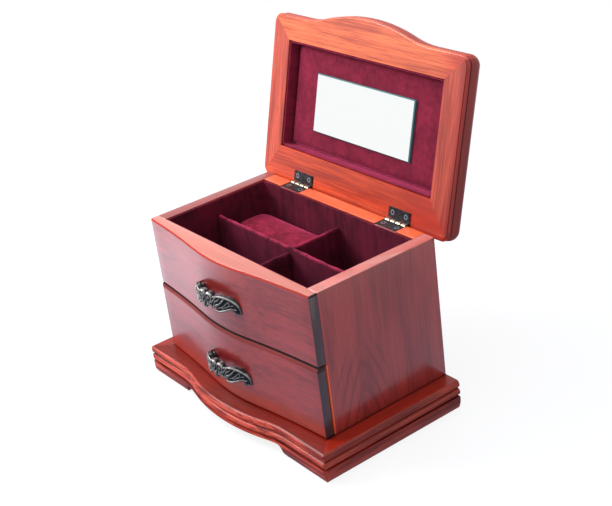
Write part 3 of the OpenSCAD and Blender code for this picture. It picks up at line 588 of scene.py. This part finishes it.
def ring_roll(low, high, shrink):
    """The cushion's form, shrunk all round to leave room for its stuffing."""
    mesh = bpy.data.meshes.new("ring_roll")
    bm = bmesh.new()
    rings, sides = 44, 56
    centre_y = (low.y + high.y) / 2
    length = high.x - low.x - 2 * shrink
    half = (high.y - low.y) / 2 - shrink
    tall = high.z - low.z + CROWN - 2 * shrink
    loops = []
    for i in range(rings + 1):
        t = 0.5 - 0.5 * math.cos(math.pi * i / rings)
        s = max(max(1 - abs(2 * t - 1) ** 14, 0) ** 0.3, 0.4)
        loop = []
        for k in range(sides):
            g = 2 * math.pi * k / sides
            c, e = math.cos(g), math.sin(g)
            # The top is a round arch. The underside is nearly square.
            up, power = (0.62, 0.8) if e > 0 else (0.38, 0.5)
            across = half * (0.3 + 0.7 * s) * math.copysign(abs(c) ** 0.5, c)
            rise = tall * (0.38 + up * s * math.copysign(abs(e) ** power, e))
            loop.append(bm.verts.new((
                low.x + shrink + length * t, centre_y + across, low.z + shrink + rise)))
        loops.append(loop)
    for a, b in zip(loops, loops[1:]):
        for k in range(sides):
            bm.faces.new((a[k], b[k], b[(k + 1) % sides], a[(k + 1) % sides]))
    for loop in (loops[0], loops[-1]):
        middle = sum((v.co for v in loop), Vector()) / sides
        hub = bm.verts.new(middle)
        for k in range(sides):
            bm.faces.new((loop[k], loop[(k + 1) % sides], hub))
    bmesh.ops.recalc_face_normals(bm, faces=bm.faces)
    bm.to_mesh(mesh)
    bm.free()
    return mesh


def stuffed(piece, voxel, pressure, cap, low, high):
    """Blows a closed form up like a filled cover, then holds it inside its own space."""
    mass, steps = 0.3, 20
    remesh = piece.modifiers.new("even", "REMESH")
    remesh.mode, remesh.voxel_size = "VOXEL", voxel
    graph = bpy.context.evaluated_depsgraph_get()
    piece.data = bpy.data.meshes.new_from_object(piece.evaluated_get(graph))
    piece.modifiers.clear()
    start = np.array([v.co for v in piece.data.vertices])
    cloth = piece.modifiers.new("cloth", "CLOTH")
    cloth.settings.use_pressure = True
    cloth.settings.uniform_pressure_force = pressure
    cloth.settings.effector_weights.gravity = 0
    cloth.settings.mass = mass
    for number in range(1, steps + 1):
        scene.frame_set(number)
    graph = bpy.context.evaluated_depsgraph_get()
    blown = bpy.data.meshes.new_from_object(piece.evaluated_get(graph))
    piece.modifiers.clear()
    scene.frame_set(1)
    moved = np.array([v.co for v in blown.vertices]) - start
    reach = np.linalg.norm(moved, axis=1, keepdims=True)
    moved *= np.minimum(1.0, cap / np.maximum(reach, 1e-9))
    final = np.clip(start + moved, np.array(low), np.array(high))
    blown.vertices.foreach_set("co", final.astype(np.float32).ravel())
    blown.update()
    piece.data = blown


cushion_velvet = velvet("velvet_cushion", (0.18, 0.009, 0.028), 7)
low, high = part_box("ring_cushion")
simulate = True
cushion = bpy.data.objects.new("ring_cushion_roll", ring_roll(low, high, 0.0015 * simulate))
scene.collection.objects.link(cushion)
if simulate:
    stuffed(cushion, voxel=0.004, pressure=4.0, cap=0.004,
            low=low, high=high + Vector((0, 0, CROWN)))
smoother = cushion.modifiers.new("smooth", "SUBSURF")
smoother.levels = smoother.render_levels = 1
cushion = made(cushion, cushion_velvet, 80)
fit(cushion, "case", "cushion_velvet", "ring_cushion")

# ---- Pulls ----
# Cast white metal, blackened and then rubbed back on the high places: an arched leaf
# with a hooked tip on each side, ribs that fan from the stem, and two round scrolls.


def pewter(name):
    f = Finish(name)
    here = f.place()
    grain = f.noise(here, 900.0, 3.0, 0.6)
    patina = f.noise(here, 260.0, 3.0, 0.6, 0.4)
    worn = f.node("ShaderNodeAttribute", {"attribute_name": "worn"}, out="Fac")
    bright = (worn + (patina - 0.5) * 1.1).ramp(0.54, 1.05)
    base = f.blend(bright, (0.022, 0.027, 0.034, 1), (0.27, 0.26, 0.245, 1))
    base = f.blend(patina.ramp(0.5, 0.75) * 0.35, base, (0.09, 0.12, 0.14, 1))
    return f.surface(
        Base_Color=base, Metallic=0.9, Roughness=0.46 - bright * 0.14,
        Normal=f.bump(grain * 0.4 + patina * 0.6, 0.7, 0.0007))


PEWTER = pewter("pull_pewter")
# The right half's raised lines: (x, z) points in mm from the screws, each line's thickness
# at its points as a share of VEIN, and how far it stands out of the leaf in mm.
VEIN = 0.002
LEAF_RIM = [(15.5 + 13.9 * math.cos(a), -8.5 + 13.9 * math.sin(a))
            for a in np.radians((118, 100, 82, 64, 46, 28, 12, -4))]
SCROLL = [(4.2 + r * math.cos(a), 2.7 + r * math.sin(a))
          for a, r in zip(np.radians(np.arange(-110, 300, 45)), np.linspace(4.4, 2.2, 10))]
VEINS = (
    (LEAF_RIM, (0.5, 0.7, 0.72, 0.62, 0.5, 0.45, 0.45, 0.4), 0.0),
    ([(8.0, -5.6), (11.0, -3.0), (13.6, -1.4), (15.4, -1.6)], (0.7, 0.8, 0.7, 0.5), 0.4),
    ([(11.4, -4.8), (14.0, -2.0), (17.6, 1.4), (19.6, 4.0)], (0.6, 0.75, 0.95, 0.55), 0.6),
    ([(13.8, -4.6), (17.4, -3.0), (20.0, -0.8), (22.0, 1.6)], (0.5, 0.55, 0.5, 0.35), 0.2),
    ([(17.0, -4.6), (20.4, -3.0), (23.0, -1.8), (25.4, -1.6)], (0.6, 0.6, 0.5, 0.35), 0.2),
    ([(11.0, -6.8), (15.0, -7.4), (19.4, -6.0), (23.6, -4.4), (27.2, -5.4)],
     (0.6, 0.85, 0.8, 0.6, 0.4), 0.4),
    ([(7.6, -1.4), (9.8, 1.4), (12.6, 4.4)], (0.7, 0.75, 0.5), 0.4),
    ([(9.6, -3.0), (11.8, 0.8), (14.0, 2.0), (16.0, 4.6)], (0.5, 0.7, 0.5, 0.35), 0.3),
    ([(1.4, -6.2), (3.4, -3.0), (6.4, -2.6), (8.6, -4.6)], (0.7, 1.0, 1.0, 0.7), 0.5),
    (SCROLL, np.linspace(1.0, 0.6, len(SCROLL)), 0.2))
STEM = ([(0, -6.3), (0, -3.4), (0, -0.8)], (0.7, 1.2, 0.8), 0.9)


def smooth_line(points, steps):
    """Points on a smooth curve through the given ones, each with its place along them."""
    last = len(points) - 1
    for k in range(last * steps + 1):
        s = k / steps
        i = min(int(s), last - 1)
        t = s - i
        a, b, c, d = (np.array(points[max(min(j, last), 0)], float) for j in range(i - 1, i + 3))
        yield i, t, 0.5 * (2 * b + (c - a) * t + (2 * a - 5 * b + 4 * c - d) * t ** 2
                           + (3 * b - a - 3 * c + d) * t ** 3)


def cast_pull(name, node, screws, body):
    """The CAD pull with raised veins and scrolls laid over it, cast into one skin."""
    front, stem_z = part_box(node)[0].y, middle_height(screws)
    arch_radius, sunk = 40.3, 0.0007
    lines = []

    def vein(points, radii, proud):
        line = []
        for i, t, (x, z) in smooth_line(points, 5):
            arch = arch_radius - math.sqrt(arch_radius ** 2 - x * x)
            line.append((x / 1000, front + sunk + (arch - proud) / 1000, stem_z + z / 1000,
                         radii[i] * (1 - t) + radii[i + 1] * t))
        lines.append(line)

    for side in (-1, 1):
        for points, radii, proud in VEINS:
            vein([(side * x, z) for x, z in points], radii, proud)
    vein(*STEM)
    veins = swept(name + "_veins", lines, VEIN, VEIN, 0.0008, PEWTER)
    bm = bmesh.new()
    bm.from_mesh(frame["nodes"][node].data)
    bmesh.ops.remove_doubles(bm, verts=bm.verts, dist=1e-6)
    bm.from_mesh(veins.data)
    mesh = bpy.data.meshes.new(name)
    bm.to_mesh(mesh)
    bm.free()
    bpy.data.objects.remove(veins)
    pull = bpy.data.objects.new(name, mesh)
    scene.collection.objects.link(pull)
    skin = pull.modifiers.new("cast", "REMESH")
    skin.mode, skin.voxel_size = "VOXEL", 0.00036
    flow = pull.modifiers.new("flow", "SMOOTH")
    flow.factor, flow.iterations = 0.5, 3
    pull = made(pull, PEWTER, 180)
    # High places are rubbed bright: how far each point stands out from its surroundings.
    relief, spread = 0.00022, 14
    here = np.array([v.co for v in pull.data.vertices])
    ends = np.array([e.vertices[:] for e in pull.data.edges])
    level = here.copy()
    count = np.bincount(ends.ravel(), minlength=len(here))[:, None]
    for _ in range(spread):
        total = np.zeros_like(level)
        np.add.at(total, ends[:, 0], level[ends[:, 1]])
        np.add.at(total, ends[:, 1], level[ends[:, 0]])
        level = total / count
    normals = np.array([v.normal for v in pull.data.vertices])
    stand = ((here - level) * normals).sum(1)
    reached = np.clip(0.35 - normals[:, 1] + normals[:, 2] * 0.5, 0, 1)
    worn = np.clip(0.45 + stand / relief, 0, 1) * reached
    values = pull.data.attributes.new("worn", "FLOAT", "POINT").data
    values.foreach_set("value", worn.astype(np.float32))
    fit(pull, body, "pull_metal", node)


cast_pull("upper_scroll_pull", "upper_pull", "upper_pull_screws", "case")
cast_pull("drawer_scroll_pull", "drawer_pull", "drawer_pull_screws", "drawer")


def plain_metal(name, colour, rough, seed):
    f = Finish(name)
    here = f.place(shift=(seed, seed, seed))
    wear = f.noise(here, 400.0, 3.0, 0.6)
    brush = f.noise(f.place(scale=(300, 3000, 3000), vector=here), 1.0, 2.0, 0.5)
    base = f.blend(wear.ramp(0.4, 0.7), tint(colour, 0.6), tint(colour, 1.3))
    return f.surface(Base_Color=base, Metallic=0.95, Roughness=wear * 0.2 + rough,
                     Normal=f.bump(brush, 0.1, 0.0002))


steel = plain_metal("screw_steel", (0.35, 0.34, 0.33), 0.28, 3)
for node in ("upper_pull_screws", "drawer_pull_screws"):
    finish_node(node, steel)

# ---- Drawer ----
# A bowed front with a rounded top arris on a plain box of paler wood, lined with velvet.
# The box slides between the sides of the case, over its floor.
low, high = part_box("drawer_front")
# A painted reflection of the plinth makes it redder and duller low down; painted shade makes
# the rounded arris brown and the top edge nearly black.
plinth_reflection = (("z", 0.046, 0.027),)
arris = (("z", high.z - 0.0048, high.z - 0.0034),)
gap_shade = (("z", high.z - 0.0015, high.z - 0.0008),)
drawer_wood = stained_wood(
    "front_wood_drawer", "x", FRONT_RED, 12, contrast=1.2,
    zones=((plinth_reflection, (0.36, 0.024, 0.010), 0.6), (arris, (0.19, 0.014, 0.011), 0.1),
           (gap_shade, (0.018, 0.003, 0.003), 0.0), end_grain))
fit(eased_board("drawer_front", "drawer_front_board", 0.0034, drawer_wood,
                screw_bores("drawer_pull_screws"), 6, (high.z - 0.001, 0.25, high.y - 0.004)),
    "drawer", "front_wood", "drawer_front")
for node, along, seed in (("drawer_left_side", "y", 13), ("drawer_right_side", "y", 14),
                          ("drawer_back", "x", 15), ("drawer_bottom", "x", 16)):
    finish_node(node, stained_wood(
        "drawer_box_" + str(seed), along, PALE_WOOD, seed, gloss=0.5))
low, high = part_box("drawer_floor_pad")
fit(soft_sheet("drawer_floor_velvet", low, high, FLOOR_ROUND, lining_velvet, FLOOR_RIPPLE),
    "drawer", "velvet", "drawer_floor_pad")

# ---- Lid ----
# A mitred frame with a moulded outer edge and a flush panel, in the same wood. The
# front rail is arched like the plinth. Its colours, orange to a dull red, are painted light and
# shade:
# a painted highlight on the front rail, and painted shade falling off to the right and darkening
# the moulding.
LID_FACE = min((SHUT @ v.co).z for v in frame["nodes"]["lid_back_rail"].data.vertices)
MOULDING_SHADE = (("z", LID_FACE + 0.0014, LID_FACE + 0.0034),)
for node, along, seed, colour, zones in (
        ("lid_front_rail", "x", 20, (0.66, 0.104, 0.038), (
            ((("x", -0.02, 0.06), ("y", -0.080, -0.062)), (0.74, 0.120, 0.022), 0.6),
            ((("x", 0.085, 0.118),), (0.46, 0.040, 0.022), 0.8),
            (MOULDING_SHADE, (0.36, 0.040, 0.030), 0.8))),
        ("lid_back_rail", "x", 21, (0.60, 0.052, 0.014), (
            ((("x", 0.02, 0.10),), (0.44, 0.030, 0.014), 0.8),
            (MOULDING_SHADE, (0.20, 0.016, 0.012), 0.5))),
        ("lid_left_stile", "y", 22, (0.50, 0.058, 0.032), (
            (MOULDING_SHADE, (0.26, 0.022, 0.016), 0.5),)),
        ("lid_right_stile", "y", 23, (0.46, 0.050, 0.028), (
            ((("x", 0.112, 0.119),), (0.27, 0.020, 0.015), 0.8),
            (MOULDING_SHADE, (0.20, 0.018, 0.015), 1.0))),
        ("lid_panel", "x", 24, CHERRY, ())):
    finish_node(node, stained_wood("lid_wood_" + str(seed), along, colour, seed, lid=True,
                                   coat=0.36, contrast=1.5, zones=zones))

# ---- Lid lining and mirror ----
# A velvet band round the recess, a padded velvet panel, and a strip of mirror glass with
# ground edges that is stuck to the pad.
lid_velvet = velvet("velvet_lid", (0.180, 0.012, 0.034), 11, lid=True, patchy=0.07)


def shut_box(node):
    """Lowest and highest corner of a lid node in the shut casket."""
    points = [SHUT @ v.co for v in frame["nodes"][node].data.vertices]
    return (Vector(min(p[k] for p in points) for k in range(3)),
            Vector(max(p[k] for p in points) for k in range(3)))


def opened(piece):
    """Turns a piece that was made for the shut lid up to the open one."""
    piece.data.transform(SHUT.inverted())
    piece.data.update()
    return piece


low, high = shut_box("lid_lining_band")
band = opened(velvet_band("lid_wall_velvet", low, high, lid_velvet))
fit(band, "lid", "velvet", "lid_lining_band")

# The pad's soft side faces down when the lid is shut, so it is made upside down.
PAD_ROUND, PAD_RIPPLE = 0.0032, 0.00012
low, high = shut_box("lid_pad")
low.z, high.z = -high.z, -low.z
pad = soft_sheet("lid_velvet_pad", low, high, PAD_ROUND, lid_velvet, PAD_RIPPLE, 5)
for vertex in pad.data.vertices:
    vertex.co.z = -vertex.co.z
pad.data.flip_normals()
pad = opened(pad)
fit(pad, "lid", "velvet", "lid_pad")


def silvered(name):
    f = Finish(name)
    haze = f.noise(f.place(), 60.0, 2.0, 0.5)
    return f.surface(
        Base_Color=(0.94, 0.96, 0.96, 1), Metallic=1.0, Roughness=haze * 0.01 + 0.01)


def glass_edge(name):
    f = Finish(name)
    bands = f.noise(f.place(scale=(200, 900, 900)), 1.0, 2.0, 0.5)
    base = f.blend(bands, (0.004, 0.06, 0.07, 1), (0.03, 0.22, 0.22, 1))
    return f.surface(
        Base_Color=base, Roughness=bands * 0.1 + 0.12, Coat_Weight=1.0, Coat_Roughness=0.05)


BEVEL_DEPTH, BEVEL_WIDTH = 0.0007, 0.0009
low, high = shut_box("lid_mirror")
mesh = bpy.data.meshes.new("mirror_glass_strip")
bm = bmesh.new()
loops = []
for level, inset in ((high.z, 0.0), (low.z + BEVEL_DEPTH, 0.0), (low.z, BEVEL_WIDTH)):
    loops.append([bm.verts.new((x, y, level)) for x, y in (
        (low.x + inset, low.y + inset), (high.x - inset, low.y + inset),
        (high.x - inset, high.y - inset), (low.x + inset, high.y - inset))])
for a, b in zip(loops, loops[1:]):
    for k in range(4):
        bm.faces.new((a[k], a[(k + 1) % 4], b[(k + 1) % 4], b[k])).material_index = 1
bm.faces.new(loops[-1])
bm.faces.new(loops[0][::-1])
bmesh.ops.recalc_face_normals(bm, faces=bm.faces)
bm.to_mesh(mesh)
bm.free()
mirror = opened(bpy.data.objects.new("mirror_glass_strip", mesh))
scene.collection.objects.link(mirror)
mesh.materials.append(silvered("mirror_silver"))
mesh.materials.append(glass_edge("mirror_ground_edge"))
fit(mirror, "lid", "mirror_glass", "lid_mirror")

# ---- Hinges ----
# Stamped steel butts with an antique bronze plating that is worn through on the knuckles.
# Each leaf lies in a mortise, flush with the wood, under two countersunk screws.
KNUCKLES = 4
KNUCKLE_MM = (2.0, 2.5)
JOIN = (0.0005, 0.0012)
leaf_boxes = [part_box(side + "_hinge_case_leaf") for side in ("left", "right")]
HINGE_LENGTH = leaf_boxes[0][1].x - leaf_boxes[0][0].x
HINGE_MIDDLES = [(low.x + high.x) / 2 for low, high in leaf_boxes]


def bronze(name, bright):
    """Dark bronze, worn bright on the knuckles but not in the joins between them."""
    f = Finish(name)
    here = f.place()
    x, y, z = (f.axis(k, here) for k in "xyz")
    away = ((y - pin.y).squared() + (z - pin.z).squared()).root() * 1000
    patina = f.noise(here, 500.0, 3.0, 0.6)
    worn = (1 - away.ramp(*KNUCKLE_MM)) * patina.ramp(0.2, 0.5)
    for middle in HINGE_MIDDLES:
        for k in range(KNUCKLES + 1):
            edge = middle + (k / KNUCKLES - 0.5) * HINGE_LENGTH
            worn = worn * (x - edge).size().ramp(*JOIN)
    base = f.blend(patina.ramp(0.35, 0.65), (0.008, 0.008, 0.010, 1), (0.050, 0.050, 0.060, 1))
    base = f.blend(worn * bright, base, (0.48, 0.38, 0.28, 1))
    return f.surface(Base_Color=base, Metallic=0.85, Roughness=0.42 - worn * 0.15,
                     Normal=f.bump(patina, 0.2, 0.0002))


leaf_bronze = bronze("hinge_bronze", 0.9)
for node in ("left_hinge_case_leaf", "right_hinge_case_leaf", "left_hinge_lid_leaf",
             "right_hinge_lid_leaf", "left_hinge_pin", "right_hinge_pin"):
    finish_node(node, leaf_bronze)


def screw_heads(name, depth, lid):
    """Countersunk heads: a painted highlight ring round a centre painted dark as shade in the
    recess.
    """
    f = Finish(name)
    here = f.place(shift=SHUT.translation, turned=(open_turn, 0, 0)) if lid else f.place()
    x, y = (f.axis(k, here) for k in "xy")
    wear = f.noise(here, 700.0, 2.0, 0.6)
    rim_highlight = 0.0
    for middle in HINGE_MIDDLES:
        for side in (-0.008, 0.008):
            away = ((x - (middle + side)).squared() + (y - depth).squared()).root() * 1000
            rim_highlight = away.ramp(1.0, 1.3) * (1 - away.ramp(2.0, 2.4)) + rim_highlight
    base = f.blend(rim_highlight, (0.006, 0.006, 0.008, 1), (0.24, 0.27, 0.32, 1))
    return f.surface(Base_Color=base, Metallic=0.8, Roughness=wear * 0.2 + 0.3,
                     Normal=f.bump(wear, 0.1, 0.0002))


low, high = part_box("hinge_screws_case")
finish_node("hinge_screws_case", screw_heads("case_screw_heads", (low.y + high.y) / 2, False))
low, high = shut_box("hinge_screws_lid")
finish_node("hinge_screws_lid", screw_heads("lid_screw_heads", (low.y + high.y) / 2, True))

# ---- Floor, backdrop and light ----
# The casket stands on a wide white sheet under soft boxes: one large to the left, one
# overhead, and a weak one to the right.


def white_sheet(name, shown):
    """Matt white that shows as plain white, by a share of it, so that shadows stay on it."""
    f = Finish(name)
    seen = f.node("ShaderNodeLightPath", out="Is Camera Ray")
    shine = f.node("ShaderNodeLightPath", out="Is Glossy Ray")
    through = f.node("ShaderNodeLightPath", out="Is Transmission Ray")
    x, y = (f.axis(k, f.place()) for k in "xy")
    # In reflections the sheet glows as painted light, brighter than white to the left and dimmer
    # close to the front and to the right.
    far = (x.squared() + y.squared()).root().ramp(0.45, 1.1)
    side = (x * -1.0 + y * 0.35).ramp(0.0, 0.33)
    level = f.blend(side, (0.42, 0.42, 0.53, 1), (1.70, 1.52, 1.72, 1))
    level = f.blend(far, level, (1.0, 1.0, 1.0, 1))
    glow = f.blend(shine, f.blend(far, (1.05, 1.05, 1.05, 1), (1.0, 1.0, 1.0, 1)), level)
    matt = f.node("ShaderNodeBsdfDiffuse", None, {"Color": (0.79, 0.83, 0.90, 1)})
    light = f.node("ShaderNodeEmission", None, {"Color": glow, "Strength": 1.0})
    mix = f.maths("MAXIMUM", (far * (1 - shown) + shown) * seen, shine)
    mix = f.maths("MAXIMUM", mix, through)
    return f.shown_as(f.node("ShaderNodeMixShader", None, {0: mix, 1: matt, 2: light}))


floor_mesh = bpy.data.meshes.new("floor_sheet")
floor_mesh.from_pydata([(-6, -6, 0), (6, -6, 0), (6, 6, 0), (-6, 6, 0)], [], [(0, 1, 2, 3)])
floor_mesh.materials.append(white_sheet("floor_white", 0.8))
floor = bpy.data.objects.new("floor_sheet", floor_mesh)
scene.collection.objects.link(floor)

# The room is dim, but the camera and the lacquer see it as white.
ROOM_STRENGTH = 0.45
world = bpy.data.worlds.new("studio")
scene.world = world
world.use_nodes = True
nodes, links = world.node_tree.nodes, world.node_tree.links
nodes.clear()
path = nodes.new("ShaderNodeLightPath")
seen = nodes.new("ShaderNodeMath")
seen.operation = "MAXIMUM"
links.new(path.outputs["Is Camera Ray"], seen.inputs[0])
links.new(path.outputs["Is Glossy Ray"], seen.inputs[1])
both = nodes.new("ShaderNodeMixShader")
links.new(seen.outputs[0], both.inputs[0])
for place, strength in ((1, ROOM_STRENGTH), (2, 1.0)):
    room = nodes.new("ShaderNodeBackground")
    room.inputs["Color"].default_value = (1, 1, 1, 1)
    room.inputs["Strength"].default_value = strength
    links.new(room.outputs[0], both.inputs[place])
end = nodes.new("ShaderNodeOutputWorld")
links.new(both.outputs[0], end.inputs["Surface"])


def soft_box(name, place, towards, size, power):
    """A square lamp of so many metres and watts, turned towards a point."""
    lamp = bpy.data.lights.new(name, "AREA")
    lamp.shape, lamp.size, lamp.energy = "SQUARE", size, power
    box = bpy.data.objects.new(name, lamp)
    aim = Vector(towards) - Vector(place)
    box.matrix_world = Matrix.Translation(place) @ aim.to_track_quat("-Z", "Y").to_matrix().to_4x4()
    scene.collection.objects.link(box)


soft_box("left_soft_box", (-0.62, -0.52, 0.66), (0, 0, 0.14), 0.5, 9)
soft_box("top_soft_box", (-0.2, 0.0, 1.6), (0, 0, 0.1), 1.4, 18)
soft_box("right_soft_box", (1.3, -0.6, 0.9), (0, 0, 0.1), 0.8, 3)

scene.view_settings.view_transform = "Standard"
